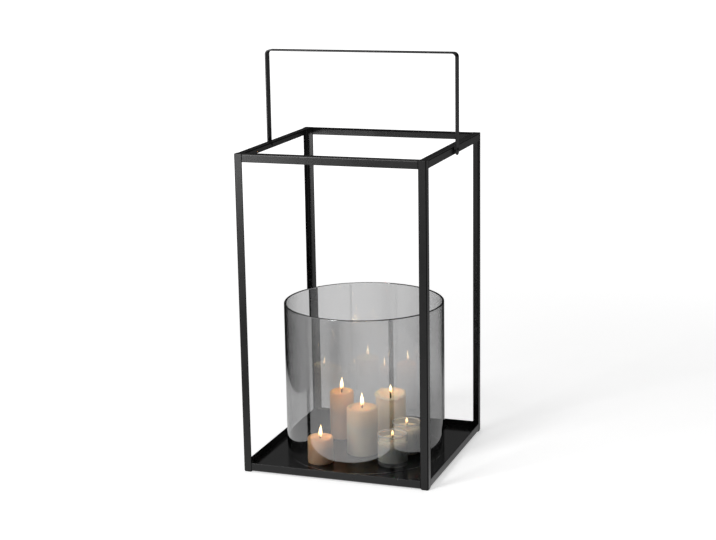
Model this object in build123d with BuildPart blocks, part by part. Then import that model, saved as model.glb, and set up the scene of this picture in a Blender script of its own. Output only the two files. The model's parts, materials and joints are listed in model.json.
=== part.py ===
from build123d import *
from math import cos, radians, sin
import os

# Hurricane lantern: a welded frame of steel angle with a flat tray, a smoked glass cylinder standing on the
# tray, four pillar candles and two glass votives inside the cylinder, and a strap handle that swings on rivets.
# Millimetres, +Z up. The origin is on the ground under the middle of the lantern, -Y is the front and +X the
# right. The handle is upright and swings about the X direction.

# Frame of steel angle, heel outwards
frame_width = 360.0
frame_depth = 360.0
frame_height = 600.0
angle_leg = 15.0
angle_thickness = 2.0
heel_radius = 2.5
leg_tip_radius = 0.5
post_end_radius = 0.4

# Tray sheet and the glides under the corners
tray_thickness = 1.2
tray_edge_gap = 0.5
tray_corner_radius = 1.0
glide_height = 2.0
glide_size = 14.0
glide_inset = 0.5
glide_corner_radius = 3.0
glide_chamfer = 0.4

# Strap handle and its pivots
strap_width = 18.0
strap_thickness = 2.5
strap_edge_radius = 0.5
handle_bend_radius = 9.0
handle_fold_inset = 2.5
washer_thickness = 3.0
washer_radius = 7.0
washer_chamfer = 0.5
rivet_radius = 2.5
rivet_head_radius = 5.0
rivet_head_height = 2.2
rivet_tail_radius = 4.0
rivet_tail_height = 1.5
rivet_hole_clearance = 0.05
pivot_fit = 0.08
pivot_play = 0.15

# Glass cylinder
glass_side_clearance = 13.0
glass_wall = 4.0
glass_height = 293.0
glass_rim_radius = 1.5
glass_foot_radius = 0.8

# Pillar candles
small_pillar_diameter = 48.0
large_pillar_diameter = 60.0
pillar_rim_radius = 3.0
pillar_foot_chamfer = 1.0
pool_margin = 7.0
pool_depth = 3.0
pillar_wick_radius = 1.3
pillar_wick_rise = 10.0
wick_fit = 0.05
wick_seat = 2.0

# Glass votives
cup_diameter = 56.0
cup_height = 60.0
cup_wall = 2.4
cup_base = 8.0
cup_rim_radius = 0.9
cup_foot_radius = 3.0
cup_well_radius = 2.0
wax_drop = 11.0
wax_shrink = 0.1
votive_wick_radius = 1.0
votive_wick_rise = 6.0
clip_disc_radius = 7.0
clip_disc_thickness = 0.6
clip_collar_radius = 2.2
clip_collar_height = 4.0
clip_fit = 0.1

# Where each candle stands in the glass: its bearing from +X in degrees, and how far out it stands, from 0 in the
# middle to 1 against the glass
back_left_bearing = 143.0
back_left_reach = 0.685
back_left_height = 95.0
centre_bearing = -86.0
centre_reach = 0.22
centre_height = 92.0
back_right_bearing = 71.0
back_right_reach = 0.68
back_right_height = 92.0
front_left_bearing = -120.0
front_left_reach = 0.91
front_left_height = 50.0
front_votive_bearing = -43.0
front_votive_reach = 0.875
back_votive_bearing = 3.5
back_votive_reach = 0.675

# Worked out from the sizes above
half_width = frame_width / 2
half_depth = frame_depth / 2
angle_inner_radius = max(heel_radius - angle_thickness, 0)
tray_level = glide_height + angle_thickness
tray_top = tray_level + tray_thickness
pivot_height = frame_height - angle_leg / 2
handle_reach = half_depth - handle_fold_inset
handle_inside = half_width + washer_thickness + pivot_play
handle_outside = handle_inside + strap_thickness
glass_radius = min(half_width, half_depth) - angle_leg - glass_side_clearance
glass_inner_radius = glass_radius - glass_wall

os.makedirs("parts", exist_ok=True)


def keep(piece, name):
    """Labels a finished piece and writes it as its own file."""
    piece.part.label = name
    export_step(piece.part, f"parts/{name}.step")


def draw_angle(heel, first_leg, second_leg):
    """Draws the L of the steel angle in the open sketch, with its heel at a point and its legs along +1 or -1."""
    outline = (
        (0, 0),
        (angle_leg, 0),
        (angle_leg, angle_thickness),
        (angle_thickness, angle_thickness),
        (angle_thickness, angle_leg),
        (0, angle_leg),
    )
    rounding = (heel_radius, leg_tip_radius, leg_tip_radius, angle_inner_radius, leg_tip_radius, leg_tip_radius)
    corners = [(heel[0] + first_leg * along, heel[1] + second_leg * across) for along, across in outline]
    with BuildLine() as section:
        FilletPolyline(*corners, radius=rounding, close=True)
    make_face(section.edges())


def draw_tongue(side_x, side_y, along_x):
    """Draws the mitred half of a corner square, inside a post's legs, that a rail's flat leg reaches into."""
    outer = (half_width - angle_thickness, half_depth - angle_thickness)
    inner = (half_width - angle_leg, half_depth - angle_leg)
    mitre = (outer[0] - angle_inner_radius, outer[1] - angle_inner_radius)
    if along_x:
        corners = ((inner[0], outer[1]), (mitre[0], outer[1]), mitre, inner)
    else:
        corners = ((outer[0], inner[1]), (outer[0], mitre[1]), mitre, inner)
    with BuildLine() as tongue:
        Polyline(*[(side_x * x, side_y * y) for x, y in corners], close=True)
    make_face(tongue.edges())


def corner_post(name, side_x, side_y):
    """One upright: an angle from the glides to the top of the frame, its cut end ground smooth."""
    with BuildPart() as post:
        with BuildSketch(Plane.XY.offset(glide_height)):
            draw_angle((side_x * half_width, side_y * half_depth), -side_x, -side_y)
        extrude(amount=frame_height - glide_height)
        fillet(post.faces().sort_by(Axis.Z)[-1].edges(), post_end_radius)
    keep(post, name)


def cross_rail(name, side_y, heel_level, upward):
    """A front or back rail: an angle between two posts, its flat leg reaching into both corners."""
    length = frame_width - 2 * angle_leg
    flat_leg_level = min(heel_level, heel_level + upward * angle_thickness)
    with BuildPart() as rail:
        with BuildSketch(Plane.YZ.offset(-length / 2)):
            draw_angle((side_y * half_depth, heel_level), -side_y, upward)
        extrude(amount=length)
        with BuildSketch(Plane.XY.offset(flat_leg_level)):
            for side_x in (-1, 1):
                draw_tongue(side_x, side_y, along_x=True)
        extrude(amount=angle_thickness)
    keep(rail, name)


def side_rail(name, side_x, heel_level, upward, pivot_hole):
    """A left or right rail: as a front rail, and the top ones have the hole for the handle's rivet."""
    length = frame_depth - 2 * angle_leg
    flat_leg_level = min(heel_level, heel_level + upward * angle_thickness)
    with BuildPart() as rail:
        with BuildSketch(Plane.XZ.offset(-length / 2)):
            draw_angle((side_x * half_width, heel_level), -side_x, upward)
        extrude(amount=length)
        with BuildSketch(Plane.XY.offset(flat_leg_level)):
            for side_y in (-1, 1):
                draw_tongue(side_x, side_y, along_x=False)
        extrude(amount=angle_thickness)
        if pivot_hole:
            with BuildSketch(Plane.YZ.offset(side_x * (half_width - angle_leg))):
                with Locations((0, pivot_height)):
                    Circle(rivet_radius + rivet_hole_clearance)
            extrude(amount=side_x * 2 * angle_leg, mode=Mode.SUBTRACT)
    keep(rail, name)


def tray():
    """The flat sheet that lies on the bottom rails' flat legs, inside their upright legs."""
    edge = angle_thickness + tray_edge_gap
    with BuildPart() as sheet:
        with BuildSketch(Plane.XY.offset(tray_level)):
            RectangleRounded(frame_width - 2 * edge, frame_depth - 2 * edge, tray_corner_radius)
        extrude(amount=tray_thickness)
    keep(sheet, "tray")


def corner_glides():
    """Four plastic pads under the corners, that the lantern stands on."""
    spacing_x = frame_width - 2 * glide_inset - glide_size
    spacing_y = frame_depth - 2 * glide_inset - glide_size
    with BuildPart() as glides:
        with BuildSketch():
            with GridLocations(spacing_x, spacing_y, 2, 2):
                RectangleRounded(glide_size, glide_size, glide_corner_radius)
        extrude(amount=glide_height)
        chamfer(glides.faces().filter_by(Plane.XY).group_by(Axis.Z)[0].edges(), glide_chamfer)
    keep(glides, "corner_glides")


def carrying_handle():
    """The steel strap bent into a U, its two arms outside the side rails and rounded below their pivots."""
    arm_end = pivot_height - strap_width / 2
    bar_top = pivot_height + handle_reach
    bar_under = bar_top - strap_thickness
    outline = (
        (-handle_outside, arm_end),
        (-handle_outside, bar_top),
        (handle_outside, bar_top),
        (handle_outside, arm_end),
        (handle_inside, arm_end),
        (handle_inside, bar_under),
        (-handle_inside, bar_under),
        (-handle_inside, arm_end),
    )
    inner_bend = handle_bend_radius - strap_thickness
    rounding = (0, handle_bend_radius, handle_bend_radius, 0, 0, inner_bend, inner_bend, 0)
    with BuildPart() as handle:
        with BuildSketch(Plane.XZ):
            with BuildLine():
                FilletPolyline(*outline, radius=rounding, close=True)
            make_face()
        extrude(amount=strap_width / 2, both=True)
        arm_corners = handle.edges().filter_by(Axis.X).group_by(Axis.Z)[0]
        fillet(arm_corners, strap_width / 2 - strap_edge_radius)
        fillet(handle.edges(), strap_edge_radius)
        with BuildSketch(Plane.YZ):
            with Locations((0, pivot_height)):
                Circle(rivet_radius + pivot_fit)
        extrude(amount=handle_outside + strap_thickness, both=True, mode=Mode.SUBTRACT)
    keep(handle, "carrying_handle")


def pivot_washer(name, side_x):
    """The spacer between a side rail and the handle's arm."""
    with BuildPart() as washer:
        with BuildSketch(Plane.YZ.offset(side_x * half_width)):
            with Locations((0, pivot_height)):
                Circle(washer_radius)
                Circle(rivet_radius + pivot_fit, mode=Mode.SUBTRACT)
        extrude(amount=side_x * washer_thickness)
        rims = washer.edges().filter_by(GeomType.CIRCLE).group_by(SortBy.RADIUS)[-1]
        chamfer(rims, washer_chamfer)
    keep(washer, name)


def pivot_rivet(name, side_x):
    """A rivet through the arm, the washer and the rail: a domed head outside and a flat closed end inside."""
    tail_start = half_width - angle_thickness - rivet_tail_height
    tail_end = half_width - angle_thickness
    head_seat = handle_outside + pivot_play
    steps = (
        (tail_start, 0),
        (tail_start, rivet_tail_radius),
        (tail_end, rivet_tail_radius),
        (tail_end, rivet_radius),
        (head_seat, rivet_radius),
        (head_seat, rivet_head_radius),
    )
    profile = [(side_x * along, pivot_height + out) for along, out in steps]
    apex = (side_x * (head_seat + rivet_head_height), pivot_height)
    with BuildPart() as rivet:
        with BuildSketch(Plane.XZ):
            with BuildLine():
                Polyline(*profile)
                TangentArc(apex, profile[-1], tangent=(0, 1))
                Line(apex, profile[0])
            make_face()
        revolve(axis=Axis((0, 0, pivot_height), (1, 0, 0)))
    keep(rivet, name)


def glass_cylinder():
    """The tinted glass tube, open at both ends, standing on the tray, its rims polished round."""
    with BuildPart() as tube:
        with BuildSketch(Plane.XZ) as wall:
            with Locations((glass_radius - glass_wall / 2, tray_top + glass_height / 2)):
                Rectangle(glass_wall, glass_height)
            fillet(wall.vertices().group_by(Axis.Y)[-1], glass_rim_radius)
            fillet(wall.vertices().group_by(Axis.Y)[0], glass_foot_radius)
        revolve(axis=Axis.Z)
    keep(tube, "glass_cylinder")


def stand_at(bearing, reach, diameter):
    """The spot on the tray where a round thing stands, at a bearing and a part of the way out to the glass."""
    distance = reach * (glass_inner_radius - diameter / 2)
    return distance * cos(radians(bearing)), distance * sin(radians(bearing))


def upright_plane(spot):
    """A vertical plane through a spot, with its own X outwards and its own Y up."""
    return Plane(origin=(spot[0], spot[1], 0), x_dir=(1, 0, 0), z_dir=(0, -1, 0))


def upright_axis(spot):
    """The vertical axis through a spot."""
    return Axis((spot[0], spot[1], 0), (0, 0, 1))


def wick(name, spot, radius, low, high):
    """A straight round cord on its end, its burnt tip a little rounded."""
    with BuildPart() as cord:
        with BuildSketch(Plane.XY.offset(low)):
            with Locations(spot):
                Circle(radius)
        extrude(amount=high - low)
        fillet(cord.faces().sort_by(Axis.Z)[-1].edges(), radius / 2)
    keep(cord, name)


def pillar_candle(name, diameter, height, bearing, reach):
    """A wax pillar with a rounded rim and a shallow melted pool, bored for its wick."""
    radius = diameter / 2
    spot = stand_at(bearing, reach, diameter)
    top = tray_top + height
    bore = pillar_wick_radius + wick_fit
    pool_floor = top - pool_depth
    bore_end = tray_top + wick_seat
    with BuildPart() as wax:
        with BuildSketch(upright_plane(spot)):
            with BuildLine():
                Polyline(
                    (bore, pool_floor),
                    (bore, bore_end),
                    (0, bore_end),
                    (0, tray_top),
                    (radius - pillar_foot_chamfer, tray_top),
                    (radius, tray_top + pillar_foot_chamfer),
                    (radius, top - pillar_rim_radius),
                )
                RadiusArc((radius, top - pillar_rim_radius), (radius - pillar_rim_radius, top), -pillar_rim_radius)
                Line((radius - pillar_rim_radius, top), (radius - pool_margin, top))
                TangentArc((bore, pool_floor), (radius - pool_margin, top), tangent=(1, 0))
            make_face()
        revolve(axis=upright_axis(spot))
    keep(wax, f"{name}_wax")
    wick(f"{name}_wick", spot, pillar_wick_radius, bore_end, pool_floor + pillar_wick_rise)


def glass_votive(name, bearing, reach):
    """A thick-based clear glass cup, filled with wax that holds a wick in a metal clip."""
    radius = cup_diameter / 2
    inside = radius - cup_wall
    spot = stand_at(bearing, reach, cup_diameter)
    rim = tray_top + cup_height
    well = tray_top + cup_base
    wax_top = rim - wax_drop
    wax_radius = inside - wax_shrink
    collar_top = well + clip_disc_thickness + clip_collar_height
    with BuildPart() as cup:
        with BuildSketch(Plane.XY.offset(tray_top)):
            with Locations(spot):
                Circle(radius)
        extrude(amount=cup_height)
        fillet(cup.faces().sort_by(Axis.Z)[0].edges(), cup_foot_radius)
        with BuildSketch(Plane.XY.offset(well)):
            with Locations(spot):
                Circle(inside)
        extrude(amount=rim - well, mode=Mode.SUBTRACT)
        fillet(cup.faces().sort_by(Axis.Z)[-1].edges(), cup_rim_radius)
        well_floor = cup.faces().filter_by(Plane.XY).group_by(Axis.Z)[1]
        fillet(well_floor.edges(), cup_well_radius)
    keep(cup, f"{name}_cup")
    with BuildPart() as clip:
        with BuildSketch(upright_plane(spot)):
            with BuildLine():
                Polyline(
                    (votive_wick_radius + wick_fit, well),
                    (clip_disc_radius, well),
                    (clip_disc_radius, well + clip_disc_thickness),
                    (clip_collar_radius, well + clip_disc_thickness),
                    (clip_collar_radius, collar_top),
                    (votive_wick_radius + wick_fit, collar_top),
                    close=True,
                )
            make_face()
        revolve(axis=upright_axis(spot))
    keep(clip, f"{name}_wick_clip")
    with BuildPart() as wax:
        with BuildSketch(upright_plane(spot)):
            with BuildLine():
                Polyline(
                    (clip_disc_radius + clip_fit, well),
                    (wax_radius - cup_well_radius, well),
                    (wax_radius, well + cup_well_radius),
                    (wax_radius, wax_top),
                    (votive_wick_radius + wick_fit, wax_top),
                    (votive_wick_radius + wick_fit, collar_top + clip_fit),
                    (clip_collar_radius + clip_fit, collar_top + clip_fit),
                    (clip_collar_radius + clip_fit, well + clip_disc_thickness + clip_fit),
                    (clip_disc_radius + clip_fit, well + clip_disc_thickness + clip_fit),
                    close=True,
                )
            make_face()
        revolve(axis=upright_axis(spot))
    keep(wax, f"{name}_wax")
    wick(f"{name}_wick", spot, votive_wick_radius, well, wax_top + votive_wick_rise)


corner_post("post_front_left", -1, -1)
corner_post("post_front_right", 1, -1)
corner_post("post_back_left", -1, 1)
corner_post("post_back_right", 1, 1)

cross_rail("top_rail_front", -1, frame_height, -1)
cross_rail("top_rail_back", 1, frame_height, -1)
side_rail("top_rail_left", -1, frame_height, -1, pivot_hole=True)
side_rail("top_rail_right", 1, frame_height, -1, pivot_hole=True)
cross_rail("bottom_rail_front", -1, glide_height, 1)
cross_rail("bottom_rail_back", 1, glide_height, 1)
side_rail("bottom_rail_left", -1, glide_height, 1, pivot_hole=False)
side_rail("bottom_rail_right", 1, glide_height, 1, pivot_hole=False)

tray()
corner_glides()

carrying_handle()
pivot_washer("pivot_washer_left", -1)
pivot_washer("pivot_washer_right", 1)
pivot_rivet("pivot_rivet_left", -1)
pivot_rivet("pivot_rivet_right", 1)

glass_cylinder()

pillar_candle("back_left_candle", small_pillar_diameter, back_left_height, back_left_bearing, back_left_reach)
pillar_candle("centre_candle", large_pillar_diameter, centre_height, centre_bearing, centre_reach)
pillar_candle("back_right_candle", large_pillar_diameter, back_right_height, back_right_bearing, back_right_reach)
pillar_candle("front_left_candle", small_pillar_diameter, front_left_height, front_left_bearing, front_left_reach)
glass_votive("front_votive", front_votive_bearing, front_votive_reach)
glass_votive("back_votive", back_votive_bearing, back_votive_reach)
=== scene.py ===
import json
import math
from dataclasses import dataclass

import bmesh
import bpy
from mathutils import Matrix, Vector, noise


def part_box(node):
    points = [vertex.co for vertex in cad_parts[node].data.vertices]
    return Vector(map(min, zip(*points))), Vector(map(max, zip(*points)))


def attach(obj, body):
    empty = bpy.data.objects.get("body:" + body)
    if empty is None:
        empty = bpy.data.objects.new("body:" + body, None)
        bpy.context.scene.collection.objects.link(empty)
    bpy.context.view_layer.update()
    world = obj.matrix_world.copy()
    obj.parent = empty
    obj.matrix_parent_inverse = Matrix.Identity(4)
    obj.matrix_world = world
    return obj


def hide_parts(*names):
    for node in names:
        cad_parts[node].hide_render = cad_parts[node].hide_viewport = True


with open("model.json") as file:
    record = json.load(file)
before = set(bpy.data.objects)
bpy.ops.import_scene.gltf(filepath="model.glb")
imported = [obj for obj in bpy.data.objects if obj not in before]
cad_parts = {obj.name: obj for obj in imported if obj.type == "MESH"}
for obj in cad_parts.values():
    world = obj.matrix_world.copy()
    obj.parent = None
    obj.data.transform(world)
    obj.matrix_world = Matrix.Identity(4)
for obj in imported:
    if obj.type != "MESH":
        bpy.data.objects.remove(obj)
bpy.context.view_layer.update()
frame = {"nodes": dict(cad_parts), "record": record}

# Hurricane lantern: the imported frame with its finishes, and finer candle wax, wicks and flames.
# Metres, +Z up, -Y the front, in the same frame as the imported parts.

nodes = frame["nodes"]
mm = 0.001

# Camera, fitted to the photograph's edges: its place in lantern widths, and its turns in radians
lantern_width = 360.0 * mm
camera_place = (2.7361, -7.8222, 2.8901)
camera_yaw = 0.3400
camera_pitch = 0.2250
camera_roll = -0.0167
focal_pixels = 1620.2
image_width = 716
sensor_width = 36.0

# Floor and background: the floor keeps the shadow near the lantern and is white to the camera further out
floor_size = 60.0
floor_colour = (0.80, 0.80, 0.80)
near_edge = 0.6
far_edge = 3.5
near_white = 0.45
far_white = 0.90
background_white = 1.0
soft_level = 0.35

# What paint and glass mirror on the floor: a white sheet round the lantern, cut off square at its left,
# and dimmer boards beyond it. Each level goes with a bearing: 0 and 1 behind, 0.25 left, 0.5 in front,
# 0.75 right.
sheet_levels = ((0.0, 0.4), (0.25, 0.7), (0.38, 0.95), (0.5, 1.15), (0.62, 0.8), (0.75, 0.45), (1.0, 0.4))
board_levels = (
    (0.0, 0.05), (0.12, 0.02), (0.25, 0.01), (0.31, 0.12), (0.37, 0.68), (0.41, 0.62), (0.43, 0.30),
    (0.45, 0.18), (0.48, 0.72), (0.56, 1.15), (0.70, 1.12), (0.78, 0.82), (0.84, 0.68), (0.90, 0.52),
    (0.93, 0.18), (1.0, 0.05),
)
sheet_near = 0.45
sheet_far = 0.80
sheet_left = -0.54
sheet_cut = 0.03

# What they mirror above the floor: a room that is brighter in front, and dimmest low down behind
front_direction = (-0.30, -0.95, 0.10)
front_begins = -0.2
front_whole = 0.9
front_level = 0.33
back_low_level = 0.012
back_high_level = 0.24
back_low_rise = 0.20
back_high_rise = 0.42

# The range that most of a noise pattern's values lie in
noise_low = 0.3
noise_high = 0.7

# Black paint: its cloudy tone, its orange peel and its gloss
cloud_scale = 14.0
cloud_darker = (0.70, 0.70, 0.72)
cloud_paler = (1.35, 1.35, 1.37)
roughness_spread = 0.12
peel_scale = 1400.0
peel_strength = 0.05
full_gloss = 0.36

# The frame's welded seams where rails meet posts, and the posts' outer corners, are duller than the rest
angle_leg = 15.0 * mm
seam_place = lantern_width / 2 - angle_leg
seam_half_width = 0.9 * mm
corner_width = 1.7 * mm
corner_place = lantern_width / 2 - corner_width
corner_fade = 0.4 * mm
dull_gloss = 0.03
dull_roughness = 0.7

# Smoked glass
smoked_glass_ior = 2.1
smoke_colour = (0.20, 0.20, 0.205, 1.0)
smoke_density = 152.0
smoked_lamp_tint = (0.76, 0.76, 0.76)
ripple_scale = 30.0
ripple_stretch = 0.15

# Votive glass: how clear it is below, and how much less clear in a band at its rim, where the whiter
# glass is a painted rim highlight
votive_lamp_tint = (0.93, 0.94, 0.94)
clear_share = 0.78
painted_highlight_clear_share = 0.35
painted_highlight_band = 4.0 * mm

# Candle wax: its profile, where a bowl goes down from the rim to the melted pool
foot_round = 1.0 * mm
foot_corner = 0.3 * mm
shoulder_round = 3.0 * mm
shoulder_turns = (20, 40, 60, 80, 90)
rim_width = 3.6 * mm
bowl_width = 6.0 * mm
bowl_shares = (0.1, 0.25, 0.4, 0.55, 0.7, 0.85, 1.0)
pool_sag = 0.3 * mm
pool_shares = (0.75, 0.5, 0.25, 0.08)
crown_height = 9.0 * mm
wall_begins = 0.7
wall_steps = 14
wax_points = 96

# Candle wax: how much its wall wanders and its rim swells, and how many waves go round it and up it
wall_loss = 0.25 * mm
wall_wander = 0.25 * mm
wall_grain = 0.12 * mm
wander_around = 1.6
wander_up = 30
grain_around = 5.0
grain_up = 60
swell_share = 0.5
swell_middle = 0.6
swell_around = 3.0
ripple_around = 1.3
fine_ripple_around = 4.0
fine_ripple_share = 0.4
lump_around = 3.4

# Wicks: the next candle's wick bends this many degrees further round
burnt_length = 10.0 * mm
wick_bend = 2.2 * mm
wick_droop = 0.5 * mm
wick_taper = 0.35
wick_roughness = 0.18
wick_grain_up = 900
wick_turn = 77.0
wick_steps = 22
wick_points = 12

# Flames: the next candle's flame leans this many degrees further round
flame_height = 25.0 * mm
flame_radius = 4.0 * mm
flame_lean = 1.2 * mm
flame_turn = 130.0
flame_overlap = 5.0 * mm
flame_end = 0.012
flame_low_belly = 0.62
flame_fullness = 0.85
flame_taper = 0.25
small_flame_width = 0.6
flame_steps = 26
flame_points = 28
flame_core_strength = 3.6
flame_edge_strength = 0.7
flame_watts = 0.017
flame_watts_power = 1.6
flame_lamp_radius = 2.5 * mm
flame_colour = (1.0, 0.62, 0.30)


@dataclass
class Lamp:
    """A soft rectangular studio lamp, in metres, that faces a target."""
    name: str
    place: tuple
    target: tuple
    width: float
    height: float
    radiance: float


@dataclass
class Candle:
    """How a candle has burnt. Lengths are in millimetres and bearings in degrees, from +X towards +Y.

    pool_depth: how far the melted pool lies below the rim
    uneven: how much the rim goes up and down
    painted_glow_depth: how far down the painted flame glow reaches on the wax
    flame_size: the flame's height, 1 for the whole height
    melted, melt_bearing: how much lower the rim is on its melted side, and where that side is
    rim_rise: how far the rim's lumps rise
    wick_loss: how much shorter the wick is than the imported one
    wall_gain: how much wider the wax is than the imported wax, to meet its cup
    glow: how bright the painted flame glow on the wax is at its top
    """
    name: str
    tone: str
    pool_depth: float
    uneven: float
    painted_glow_depth: float
    flame_size: float
    melted: float = 0.0
    melt_bearing: float = 0.0
    rim_rise: float = 0.0
    wick_loss: float = 0.0
    wall_gain: float = 0.0
    glow: float = 0.25


lamps = (
    Lamp("key_lamp", (-1.3, -2.6, 2.4), (0.0, 0.0, 0.4), width=0.9, height=1.9, radiance=12.0),
    Lamp("front_lamp", (-1.95, -3.4, 0.5), (0.0, 0.0, 0.4), width=0.9, height=1.0, radiance=13.0),
    Lamp("top_lamp", (0.0, 0.2, 2.6), (0.0, 0.0, 0.0), width=1.6, height=1.6, radiance=1.2),
    Lamp("fill_lamp", (2.6, -1.4, 1.2), (0.0, 0.0, 0.3), width=1.0, height=1.2, radiance=0.4),
)

candles = (
    Candle(
        "back_left_candle", "peach", pool_depth=4.0, uneven=0.8, painted_glow_depth=45.0, flame_size=1.0,
        melted=1.0, melt_bearing=250.0, glow=0.34,
    ),
    Candle(
        "centre_candle", "cream", pool_depth=3.0, uneven=1.2, painted_glow_depth=40.0, flame_size=1.05,
        melted=1.2, melt_bearing=290.0, wick_loss=1.0,
    ),
    Candle(
        "back_right_candle", "ivory", pool_depth=14.0, uneven=2.5, painted_glow_depth=130.0, flame_size=0.7,
        melted=8.0, melt_bearing=285.0, rim_rise=7.5, wick_loss=5.0, glow=0.30,
    ),
    Candle(
        "front_left_candle", "peach", pool_depth=4.0, uneven=1.0, painted_glow_depth=25.0, flame_size=1.0,
        melted=1.2, melt_bearing=280.0, wick_loss=4.0, glow=0.18,
    ),
    Candle(
        "front_votive", "white", pool_depth=1.5, uneven=0.3, painted_glow_depth=14.0, flame_size=0.45,
        wick_loss=-2.0, wall_gain=0.45,
    ),
    Candle(
        "back_votive", "white", pool_depth=1.5, uneven=0.3, painted_glow_depth=14.0, flame_size=0.45,
        wick_loss=-3.0, wall_gain=0.45,
    ),
)

# Wax colours: the wax's own cool colour below, and near its top the warm colour of a painted flame glow
wax_and_painted_glow_tones = {
    "cream": ((0.69, 0.61, 0.47), (0.84, 0.57, 0.32)),
    "ivory": ((0.69, 0.63, 0.50), (0.84, 0.69, 0.49)),
    "peach": ((0.74, 0.48, 0.31), (1.00, 0.57, 0.29)),
    "white": ((0.66, 0.66, 0.61), (0.90, 0.78, 0.56)),
}


class Shader:
    """A node tree, with short calls to add nodes and join them."""

    def __init__(self, tree):
        self.tree = tree
        self.tree.nodes.clear()

    def add(self, kind, **values):
        """A node of a kind, with its plain attributes set."""
        node = self.tree.nodes.new(kind)
        for name, value in values.items():
            setattr(node, name, value)
        return node

    def join(self, source, target):
        """Joins an output socket to an input socket."""
        self.tree.links.new(source, target)

    def feed(self, socket, value):
        """Sets an input socket to a number, or joins a socket to it."""
        if isinstance(value, (int, float)):
            socket.default_value = value
        else:
            self.join(value, socket)

    def place(self):
        """The point on the surface, in metres, in the object's own frame."""
        return self.add("ShaderNodeTexCoord").outputs["Object"]

    def axes(self, vector):
        """The three parts of a vector, by name."""
        split = self.add("ShaderNodeSeparateXYZ")
        self.join(vector, split.inputs["Vector"])
        return split.outputs

    def noise(self, scale, detail, roughness, place=None):
        """A noise pattern's value, about half on average, with cells of 1 / scale metres."""
        node = self.add("ShaderNodeTexNoise")
        node.inputs["Scale"].default_value = scale
        node.inputs["Detail"].default_value = detail
        node.inputs["Roughness"].default_value = roughness
        self.join(place or self.place(), node.inputs["Vector"])
        return node.outputs["Fac"]

    def spread(self, value, low, high, first, last, smooth=False):
        """Goes from first to last as the value goes from low to high, and is held outside them."""
        node = self.add("ShaderNodeMapRange")
        if smooth:
            node.interpolation_type = "SMOOTHSTEP"
        self.join(value, node.inputs["Value"])
        ends = {"From Min": low, "From Max": high, "To Min": first, "To Max": last}
        for name, number in ends.items():
            node.inputs[name].default_value = number
        return node.outputs["Result"]

    def vary(self, pattern, first, last):
        """A value that goes from first to last with a noise pattern."""
        return self.spread(pattern, noise_low, noise_high, first, last)

    def work_out(self, operation, *values):
        """The result of a calculation on values, each a socket or a number."""
        node = self.add("ShaderNodeMath", operation=operation)
        for socket, value in zip(node.inputs, values):
            self.feed(socket, value)
        return node.outputs[0]

    def between(self, share, first, last):
        """A value that goes from first to last as the share goes from 0 to 1."""
        node = self.add("ShaderNodeMix")
        self.join(share, node.inputs["Factor"])
        self.feed(node.inputs["A"], first)
        self.feed(node.inputs["B"], last)
        return node.outputs["Result"]

    def colours(self, value, *stops):
        """A colour ramp over a value, from stops of position and linear colour."""
        node = self.add("ShaderNodeValToRGB")
        ramp = node.color_ramp
        while len(ramp.elements) < len(stops):
            ramp.elements.new(1.0)
        for element, (position, colour) in zip(ramp.elements, stops):
            element.position = position
            element.color = (*colour, 1.0)
        self.join(value, node.inputs["Fac"])
        return node.outputs["Color"]

    def levels(self, value, stops):
        """A grey ramp over a value, from stops of position and level."""
        return self.colours(value, *((position, (level, level, level)) for position, level in stops))

    def bump(self, height, strength, distance):
        """A bump normal from a height pattern."""
        node = self.add("ShaderNodeBump")
        node.inputs["Strength"].default_value = strength
        node.inputs["Distance"].default_value = distance
        self.join(height, node.inputs["Height"])
        return node.outputs["Normal"]

    def glow(self, strength):
        """A white light of a strength."""
        node = self.add("ShaderNodeEmission")
        self.feed(node.inputs["Strength"], strength)
        return node.outputs["Emission"]

    def both(self, first, second):
        """Two shaders added together."""
        node = self.add("ShaderNodeAddShader")
        self.join(first, node.inputs[0])
        self.join(second, node.inputs[1])
        return node.outputs["Shader"]

    def choice(self, share, first, second):
        """The first shader where the share is 0, the second where it is 1."""
        node = self.add("ShaderNodeMixShader")
        self.join(share, node.inputs["Fac"])
        self.join(first, node.inputs[1])
        self.join(second, node.inputs[2])
        return node.outputs["Shader"]

    def principled(self, **values):
        """A Principled shader, with sockets set by their names, and _ for a space in a name."""
        node = self.add("ShaderNodeBsdfPrincipled")
        for name, value in values.items():
            node.inputs[name.replace("_", " ")].default_value = value
        return node

    def seen(self):
        """Two shares, each 0 or 1: the camera sees it, and paint or glass mirrors it."""
        path = self.add("ShaderNodeLightPath")
        turns = self.work_out("ADD", path.outputs["Glossy Depth"], path.outputs["Diffuse Depth"])
        straight = self.work_out("LESS_THAN", turns, 0.5)
        mirrored = self.work_out("GREATER_THAN", path.outputs["Glossy Depth"], 0.5)
        return straight, mirrored


def make_camera():
    """The camera at the photograph's viewing angle."""
    data = bpy.data.cameras.new("camera")
    data.sensor_width = sensor_width
    data.lens = focal_pixels / image_width * sensor_width
    camera = bpy.data.objects.new("camera", data)
    bpy.context.scene.collection.objects.link(camera)
    forward = Vector((
        -math.sin(camera_yaw) * math.cos(camera_pitch),
        math.cos(camera_yaw) * math.cos(camera_pitch),
        -math.sin(camera_pitch),
    ))
    level_right = Vector((math.cos(camera_yaw), math.sin(camera_yaw), 0.0))
    level_up = level_right.cross(forward)
    right = level_right * math.cos(camera_roll) + level_up * math.sin(camera_roll)
    up = level_up * math.cos(camera_roll) - level_right * math.sin(camera_roll)
    turn = Matrix((right, up, -forward)).transposed().to_4x4()
    camera.matrix_world = Matrix.Translation(Vector(camera_place) * lantern_width) @ turn
    bpy.context.scene.camera = camera


def new_material(name):
    """A new material and its node tree."""
    material = bpy.data.materials.new(name)
    material.use_nodes = True
    return material, Shader(material.node_tree)


def finish_material(material, shader, surface, volume=None):
    """Joins the shader that the surface shows, and what fills its inside."""
    output = shader.add("ShaderNodeOutputMaterial")
    shader.join(surface, output.inputs["Surface"])
    if volume:
        shader.join(volume, output.inputs["Volume"])
    return material


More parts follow.
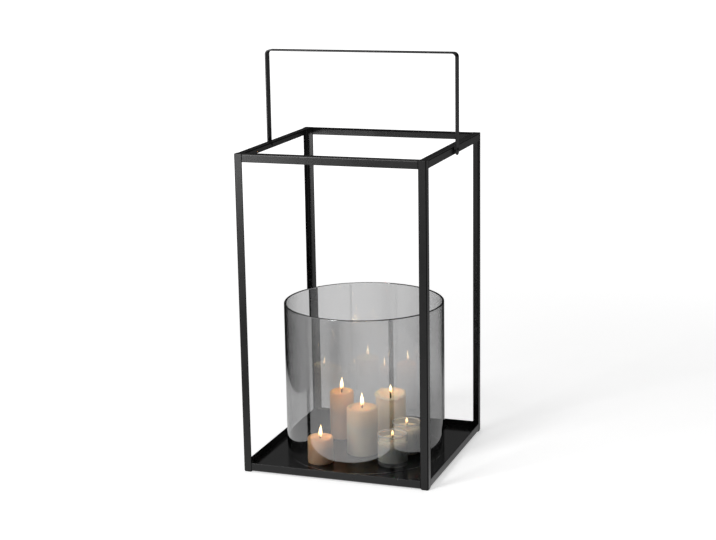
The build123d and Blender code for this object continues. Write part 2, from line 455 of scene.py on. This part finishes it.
def mirrored_floor(shader, reach):
    """The floor as paint and glass mirror it: the white sheet, and the boards beyond it."""
    axes = shader.axes(shader.place())
    ahead = shader.work_out("MULTIPLY", axes["Y"], -1.0)
    angle = shader.work_out("ARCTAN2", axes["X"], ahead)
    bearing = shader.spread(angle, -math.pi, math.pi, 0.0, 1.0)
    within_reach = shader.spread(reach, sheet_near, sheet_far, 1.0, 0.0, smooth=True)
    within_cut = shader.spread(axes["X"], sheet_left - sheet_cut, sheet_left, 0.0, 1.0, smooth=True)
    on_sheet = shader.work_out("MULTIPLY", within_reach, within_cut)
    sheet = shader.levels(bearing, sheet_levels)
    boards = shader.levels(bearing, board_levels)
    return shader.glow(shader.between(on_sheet, boards, sheet))


def make_floor():
    """The pale floor: it keeps the lantern's shadow, and is white to the camera further out."""
    half = floor_size / 2
    mesh = bpy.data.meshes.new("floor")
    corners = [(-half, -half, 0), (half, -half, 0), (half, half, 0), (-half, half, 0)]
    mesh.from_pydata(corners, [], [(0, 1, 2, 3)])
    floor = bpy.data.objects.new("floor", mesh)
    bpy.context.scene.collection.objects.link(floor)
    material, shader = new_material("floor")
    straight, mirrored = shader.seen()
    cover = shader.add("ShaderNodeBsdfDiffuse")
    cover.inputs["Color"].default_value = (*floor_colour, 1.0)
    length = shader.add("ShaderNodeVectorMath", operation="LENGTH")
    shader.join(shader.place(), length.inputs[0])
    reach = length.outputs["Value"]
    white = shader.spread(reach, near_edge, far_edge, near_white, far_white, smooth=True)
    lit = shader.both(cover.outputs["BSDF"], shader.glow(shader.work_out("MULTIPLY", white, straight)))
    surface = shader.choice(mirrored, lit, mirrored_floor(shader, reach))
    mesh.materials.append(finish_material(material, shader, surface))
    material.cycles.emission_sampling = "NONE"


def make_world():
    """Soft light from all round, a white background, and for paint and glass a room to mirror."""
    world = bpy.data.worlds.new("studio")
    bpy.context.scene.world = world
    world.use_nodes = True
    world.cycles.sampling_method = "NONE"
    shader = Shader(world.node_tree)
    direction = shader.add("ShaderNodeTexCoord").outputs["Generated"]
    towards = shader.add("ShaderNodeVectorMath", operation="DOT_PRODUCT")
    shader.join(direction, towards.inputs[0])
    towards.inputs[1].default_value = front_direction
    in_front = shader.spread(towards.outputs["Value"], front_begins, front_whole, 0.0, 1.0, smooth=True)
    rise = shader.axes(direction)["Z"]
    behind = shader.spread(
        rise, back_low_rise, back_high_rise, back_low_level, back_high_level, smooth=True,
    )
    room = shader.between(in_front, behind, front_level)
    straight, mirrored = shader.seen()
    level = shader.between(mirrored, soft_level, room)
    level = shader.between(straight, level, background_white)
    background = shader.add("ShaderNodeBackground")
    background.inputs["Color"].default_value = (1.0, 1.0, 1.0, 1.0)
    shader.join(level, background.inputs["Strength"])
    output = shader.add("ShaderNodeOutputWorld")
    shader.join(background.outputs["Background"], output.inputs["Surface"])


def make_lamp(lamp):
    """A studio lamp, which the camera doesn't see, straight or through glass."""
    data = bpy.data.lights.new(lamp.name, "AREA")
    data.shape = "RECTANGLE"
    data.size = lamp.width
    data.size_y = lamp.height
    data.energy = lamp.radiance * lamp.width * lamp.height * math.pi
    thing = bpy.data.objects.new(lamp.name, data)
    bpy.context.scene.collection.objects.link(thing)
    thing.location = lamp.place
    thing.rotation_euler = (Vector(lamp.target) - Vector(lamp.place)).to_track_quat("-Z", "Y").to_euler()
    thing.visible_camera = False
    thing.visible_transmission = False


def dull_lines(shader):
    """A share that is 1 along the frame's welded seams and the posts' outer corners, and 0 elsewhere."""
    axes = shader.axes(shader.place())
    out = [shader.work_out("ABSOLUTE", axes[name]) for name in ("X", "Y")]
    least = shader.work_out("MINIMUM", *out)
    dull = shader.spread(least, corner_place, corner_place + corner_fade, 0.0, 1.0)
    for distance in out:
        away = shader.work_out("ABSOLUTE", shader.work_out("SUBTRACT", distance, seam_place))
        seam = shader.spread(away, seam_half_width / 2, seam_half_width, 1.0, 0.0)
        dull = shader.work_out("MAXIMUM", dull, seam)
    return dull


def black_paint(name, level, roughness, grain, welded=False):
    """Black powder coat: fine orange peel, a faint cloudy tone, and dull lines where it is welded."""
    material, shader = new_material(name)
    coat = shader.principled(Specular_IOR_Level=full_gloss)
    cloud = shader.vary(shader.noise(cloud_scale, detail=4.0, roughness=0.6), 0.0, 1.0)
    darker = tuple(level * share for share in cloud_darker)
    paler = tuple(level * share for share in cloud_paler)
    shader.join(shader.colours(cloud, (0.0, darker), (1.0, paler)), coat.inputs["Base Color"])
    smoother = roughness * (1 - roughness_spread)
    rougher = roughness * (1 + roughness_spread)
    roughness_here = shader.spread(cloud, 0.0, 1.0, smoother, rougher)
    if welded:
        dull = dull_lines(shader)
        roughness_here = shader.between(dull, roughness_here, dull_roughness)
        shader.join(shader.between(dull, full_gloss, dull_gloss), coat.inputs["Specular IOR Level"])
    shader.join(roughness_here, coat.inputs["Roughness"])
    peel = shader.noise(peel_scale, detail=2.0, roughness=0.5)
    shader.join(shader.bump(peel, peel_strength, distance=grain), coat.inputs["Normal"])
    return finish_material(material, shader, coat.outputs["BSDF"])


def let_lamps_through(shader, glass, tint):
    """Glass that is clear to rays from lamps, so that they reach what stands behind it."""
    clear = shader.add("ShaderNodeBsdfTransparent")
    clear.inputs["Color"].default_value = (*tint, 1.0)
    path = shader.add("ShaderNodeLightPath")
    return shader.choice(path.outputs["Is Shadow Ray"], glass, clear.outputs["BSDF"])


def smoked_glass(name):
    """Grey glass tinted all through, with a bright lustre and a slight draw ripple in its walls."""
    material, shader = new_material(name)
    glass = shader.principled(
        Base_Color=(1.0, 1.0, 1.0, 1.0), Roughness=0.0, IOR=smoked_glass_ior, Transmission_Weight=1.0,
    )
    stretch = shader.add("ShaderNodeMapping")
    stretch.inputs["Scale"].default_value = (1.0, 1.0, ripple_stretch)
    shader.join(shader.place(), stretch.inputs["Vector"])
    ripple = shader.noise(ripple_scale, detail=1.0, roughness=0.4, place=stretch.outputs["Vector"])
    shader.join(shader.bump(ripple, strength=0.12, distance=0.6 * mm), glass.inputs["Normal"])
    smoke = shader.add("ShaderNodeVolumeAbsorption")
    smoke.inputs["Color"].default_value = smoke_colour
    smoke.inputs["Density"].default_value = smoke_density
    surface = let_lamps_through(shader, glass.outputs["BSDF"], smoked_lamp_tint)
    return finish_material(material, shader, surface, smoke.outputs["Volume"])


def votive_glass(name, rim_height):
    """Pressed glass with faint waves, slightly milky from wax and heat, and milkier in a band at its rim,
    which is a painted rim highlight.
    """
    material, shader = new_material(name)
    glass = shader.principled(Base_Color=(0.95, 0.96, 0.95, 1.0), IOR=1.5)
    height = shader.axes(shader.place())["Z"]
    # Less clear towards the rim: the whiter band there is a painted highlight
    clear = shader.spread(height, rim_height - painted_highlight_band, rim_height, clear_share, painted_highlight_clear_share)
    shader.join(clear, glass.inputs["Transmission Weight"])
    film = shader.noise(scale=90.0, detail=3.0, roughness=0.6)
    shader.join(shader.vary(film, 0.03, 0.10), glass.inputs["Roughness"])
    wave = shader.noise(scale=60.0, detail=1.0, roughness=0.4)
    shader.join(shader.bump(wave, strength=0.2, distance=0.6 * mm), glass.inputs["Normal"])
    surface = let_lamps_through(shader, glass.outputs["BSDF"], votive_lamp_tint)
    return finish_material(material, shader, surface)


def wax_with_painted_glow(name, cool, warm, top, painted_glow_depth, glow):
    """Wax that lets light in, mottled and grained: its own cool colour below, and towards its top a
    painted flame glow, warm in colour and in emitted light.
    """
    material, shader = new_material(name)
    wax = shader.principled(IOR=1.44, Subsurface_Weight=0.4, Subsurface_Scale=8.0 * mm)
    wax.inputs["Subsurface Radius"].default_value = (1.0, 0.5, 0.25)
    mottle = shader.vary(shader.noise(scale=55.0, detail=4.0, roughness=0.6), -3.0 * mm, 3.0 * mm)
    height = shader.work_out("ADD", shader.axes(shader.place())["Z"], mottle)
    nearness = shader.spread(height, top - painted_glow_depth, top, 0.0, 1.0)
    middle = tuple((a + b) / 2 for a, b in zip(cool, warm))
    # Painted flame glow: the colour turns warm towards the top, and the wax emits light there
    tone = shader.colours(nearness, (0.0, cool), (0.35, middle), (1.0, warm))
    shader.join(tone, wax.inputs["Base Color"])
    shader.join(tone, wax.inputs["Emission Color"])
    strength = shader.spread(nearness, 0.0, 1.0, 0.0, glow, smooth=True)
    shader.join(strength, wax.inputs["Emission Strength"])
    grain = shader.noise(scale=300.0, detail=3.0, roughness=0.6)
    shader.join(shader.vary(grain, 0.32, 0.50), wax.inputs["Roughness"])
    shader.join(shader.bump(grain, strength=0.15, distance=0.4 * mm), wax.inputs["Normal"])
    return finish_material(material, shader, wax.outputs["BSDF"])


def burnt_wick(name):
    """A burnt cotton cord: near black, with a dull brown ash."""
    material, shader = new_material(name)
    cord = shader.principled(Roughness=0.9, Specular_IOR_Level=0.2)
    ash = shader.spread(shader.noise(scale=1500.0, detail=3.0, roughness=0.6), 0.35, noise_high, 0.0, 1.0)
    tone = shader.colours(ash, (0.0, (0.006, 0.004, 0.003)), (1.0, (0.05, 0.035, 0.028)))
    shader.join(tone, cord.inputs["Base Color"])
    return finish_material(material, shader, cord.outputs["BSDF"])


def plain_tin(name):
    """Thin tinned sheet with fine rolling marks."""
    material, shader = new_material(name)
    tin = shader.principled(Metallic=1.0, Base_Color=(0.62, 0.61, 0.58, 1.0))
    marks = shader.noise(scale=700.0, detail=2.0, roughness=0.5)
    shader.join(shader.vary(marks, 0.25, 0.42), tin.inputs["Roughness"])
    return finish_material(material, shader, tin.outputs["BSDF"])


def flame_light(name):
    """A candle flame: light only, weak and clear at its foot and edges, whitest in its middle."""
    material, shader = new_material(name)
    rise = shader.spread(shader.axes(shader.place())["Z"], 0.0, flame_height, 0.0, 1.0)
    tone = shader.colours(
        rise,
        (0.0, (0.9, 0.42, 0.16)),
        (0.25, (1.0, 0.66, 0.30)),
        (0.55, (1.0, 0.80, 0.46)),
        (1.0, (1.0, 0.60, 0.24)),
    )
    along = shader.levels(rise, ((0.0, 0.2), (0.3, 0.8), (0.55, 1.0), (1.0, 0.75)))
    edge = shader.add("ShaderNodeLayerWeight")
    edge.inputs["Blend"].default_value = 0.5
    facing = edge.outputs["Facing"]
    across = shader.spread(facing, 0.15, 0.95, flame_core_strength, flame_edge_strength, smooth=True)
    light = shader.add("ShaderNodeEmission")
    shader.join(tone, light.inputs["Color"])
    shader.join(shader.work_out("MULTIPLY", along, across), light.inputs["Strength"])
    clear = shader.add("ShaderNodeBsdfTransparent")
    material.cycles.emission_sampling = "NONE"
    surface = shader.both(light.outputs["Emission"], clear.outputs["BSDF"])
    return finish_material(material, shader, surface)


def around(count):
    """Evenly spaced directions round a full turn, in the level plane."""
    turns = [2 * math.pi * i / count for i in range(count)]
    return [Vector((math.cos(turn), math.sin(turn), 0.0)) for turn in turns]


def bearing_direction(degrees):
    """The level direction at a bearing, counted from +X towards +Y."""
    return Vector((math.cos(math.radians(degrees)), math.sin(math.radians(degrees)), 0.0))


def upward(height):
    """A straight way up."""
    return Vector((0.0, 0.0, height))


def smooth_step(value):
    """0 below 0, 1 above 1, and a smooth rise between."""
    held = min(max(value, 0.0), 1.0)
    return held * held * (3 - 2 * held)


def half_noise(point):
    """Smooth noise at a point, from about 0 to 1."""
    return 0.5 + 0.5 * noise.noise(point)


def skin(name, rings, place, material):
    """A smooth closed object at a place, made of rings of as many points each."""
    working = bmesh.new()
    rows = [[working.verts.new(point) for point in ring] for ring in rings]
    count = len(rows[0])
    for low_row, high_row in zip(rows, rows[1:]):
        for i in range(count):
            j = (i + 1) % count
            working.faces.new((low_row[i], low_row[j], high_row[j], high_row[i]))
    for row in (rows[0], rows[-1]):
        middle = working.verts.new(sum((v.co for v in row), Vector()) / count)
        for i in range(count):
            working.faces.new((row[i], row[(i + 1) % count], middle))
    bmesh.ops.recalc_face_normals(working, faces=working.faces)
    for face in working.faces:
        face.smooth = True
    mesh = bpy.data.meshes.new(name)
    working.to_mesh(mesh)
    working.free()
    mesh.materials.append(material)
    thing = bpy.data.objects.new(name, mesh)
    bpy.context.scene.collection.objects.link(thing)
    thing.location = place
    return thing


def foot_of(node):
    """The middle of a node's lowest face, its radius and its height."""
    low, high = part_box(node)
    middle = Vector(((low.x + high.x) / 2, (low.y + high.y) / 2, low.z))
    return middle, (high.x - low.x) / 2, high.z - low.z


def wax_profile(radius, height, pool_depth):
    """Half of a candle's section, as radius and height, from its foot over the rim to the pool."""
    profile = [(radius - foot_round, 0.0), (radius - foot_corner, foot_corner), (radius, foot_round)]
    shoulder = height - shoulder_round
    wall = shoulder - foot_round
    profile += [(radius, foot_round + wall * i / wall_steps) for i in range(1, wall_steps + 1)]
    for turn in (math.radians(degrees) for degrees in shoulder_turns):
        inward = shoulder_round * (1 - math.cos(turn))
        profile.append((radius - inward, shoulder + shoulder_round * math.sin(turn)))
    inner = radius - rim_width
    for share in bowl_shares:
        profile.append((inner - bowl_width * share, height - pool_depth * smooth_step(share)))
    pool = inner - bowl_width
    for share in pool_shares:
        profile.append((pool * share, height - pool_depth - pool_sag * (1 - share)))
    return profile


def wax_body(candle, body_radius, height, seed):
    """The rings of a burning candle's wax: an uneven wall, a rim melted lower on one side, and a pool."""
    radius = body_radius + candle.wall_gain * mm
    pool = radius - rim_width - bowl_width
    melt_side = bearing_direction(candle.melt_bearing)
    rings = []
    for r, z in wax_profile(radius, height, candle.pool_depth * mm):
        wall = smooth_step((r - radius * wall_begins) / (radius * (1 - wall_begins)))
        crown = smooth_step((z - (height - crown_height)) / crown_height)
        rim = crown * smooth_step((r - pool) / (radius - pool))
        ring = []
        for side in around(wax_points):
            wander = noise.noise(side * wander_around + upward(z * wander_up + seed))
            grain = noise.noise(side * grain_around + Vector((seed, 0, z * grain_up)))
            swell = swell_middle + noise.noise(side * swell_around + upward(seed))
            out = r - wall * (wall_loss + wall_wander * wander + wall_grain * grain)
            out *= 1 + crown * wall * candle.rim_rise * mm / radius * swell_share * swell
            ripple = half_noise(side * ripple_around + Vector((seed * 2, 0, 0)))
            ripple += fine_ripple_share * half_noise(side * fine_ripple_around + Vector((0, seed * 3, 0)))
            lump = half_noise(side * lump_around + Vector((seed, seed, 0)))
            low_side = 0.5 + 0.5 * side.dot(melt_side)
            drop = candle.melted * low_side + candle.uneven * ripple - candle.rim_rise * lump
            ring.append(side * out + upward(z - rim * drop * mm))
        rings.append(ring)
    return rings


def wick_body(radius, height, lean, seed):
    """The rings of a burnt wick that bends over at its tip."""
    rings = []
    for i in range(wick_steps + 1):
        z = height * i / wick_steps
        share = max(0.0, (z - (height - burnt_length)) / burnt_length)
        centre = lean * (wick_bend * share ** 2) + upward(z - wick_droop * share ** 3)
        thin = radius * (1 - wick_taper * share ** 3)
        ring = []
        for side in around(wick_points):
            rough = 1 + wick_roughness * share * noise.noise(side * 2 + upward(z * wick_grain_up + seed))
            ring.append(centre + side * thin * rough)
        rings.append(ring)
    return rings


def flame_body(size, lean):
    """The rings of a teardrop flame."""
    rings = []
    for i in range(flame_steps + 1):
        share = flame_end + (1 - 2 * flame_end) * i / flame_steps
        centre = lean * (flame_lean * size * share ** 2) + upward(flame_height * size * share)
        bulge = math.sin(math.pi * share ** flame_low_belly) ** flame_fullness
        width = small_flame_width + (1 - small_flame_width) * size
        radius = flame_radius * width * bulge * (1 - flame_taper * share)
        rings.append([centre + side * radius for side in around(flame_points)])
    return rings


def flame_lamp(name, flame, size):
    """The small warm lamp that a flame is; what is seen of it is the flame's own shape."""
    data = bpy.data.lights.new(name, "POINT")
    data.energy = flame_watts * size ** flame_watts_power
    data.color = flame_colour
    data.shadow_soft_size = flame_lamp_radius
    lamp = bpy.data.objects.new(name, data)
    bpy.context.scene.collection.objects.link(lamp)
    lamp.visible_camera = False
    lamp.visible_glossy = False
    lamp.visible_transmission = False
    lamp.parent = flame
    lamp.location = upward(flame_height * size / 2)


def make_candle(number, candle, wick_material, flame_material):
    """A candle's wax, its burnt wick and its flame, on the candle's own body."""
    wax_node = f"{candle.name}_wax"
    wick_node = f"{candle.name}_wick"
    foot, radius, height = foot_of(wax_node)
    cool, warm = wax_and_painted_glow_tones[candle.tone]
    wax_material = wax_with_painted_glow(wax_node, cool, warm, height, candle.painted_glow_depth * mm, candle.glow)
    rings = wax_body(candle, radius, height, seed=number * 7.3)
    wax = skin(f"{candle.name}_wax_body", rings, foot, wax_material)
    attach(wax, candle.name)
    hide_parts(wax_node)

    wick_foot, wick_radius, cad_length = foot_of(wick_node)
    length = cad_length - candle.wick_loss * mm
    rings = wick_body(wick_radius, length, bearing_direction(number * wick_turn), seed=number * 3.1)
    wick = skin(f"{candle.name}_burnt_wick", rings, wick_foot, wick_material)
    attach(wick, candle.name)
    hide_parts(wick_node)

    size = candle.flame_size
    flame_foot = wick_foot + upward(length - flame_overlap * size)
    rings = flame_body(size, bearing_direction(number * flame_turn))
    flame = skin(f"{candle.name}_flame", rings, flame_foot, flame_material)
    flame_lamp(f"{candle.name}_flame_lamp", flame, size)
    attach(flame, candle.name)


make_camera()
make_floor()
make_world()
for lamp in lamps:
    make_lamp(lamp)

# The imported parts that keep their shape, each with the finish of its slot
slot_finish = {
    "frame_steel": black_paint("frame_paint", level=0.003, roughness=0.27, grain=0.08 * mm, welded=True),
    "tray_steel": black_paint("tray_paint", level=0.003, roughness=0.16, grain=0.04 * mm),
    "handle_steel": black_paint("handle_paint", level=0.003, roughness=0.27, grain=0.06 * mm),
    "pivot_steel": black_paint("pivot_paint", level=0.004, roughness=0.30, grain=0.04 * mm),
    "glide_plastic": black_paint("glide_plastic", level=0.008, roughness=0.70, grain=0.08 * mm),
    "smoked_glass": smoked_glass("smoked_glass"),
    "votive_glass": votive_glass("votive_glass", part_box("front_votive_cup")[1].z),
    "clip_tin": plain_tin("clip_tin"),
}
slot_of = {part["node"]: part["material_slot"] for part in frame["record"]["subparts"]}
for name, slot in slot_of.items():
    if slot in slot_finish:
        slots = nodes[name].data.materials
        slots.clear()
        slots.append(slot_finish[slot])

# The candles
wick_cotton = burnt_wick("wick_cotton")
flame_glow = flame_light("flame")
for number, candle in enumerate(candles):
    make_candle(number, candle, wick_cotton, flame_glow)

bpy.context.scene.view_settings.view_transform = "Standard"
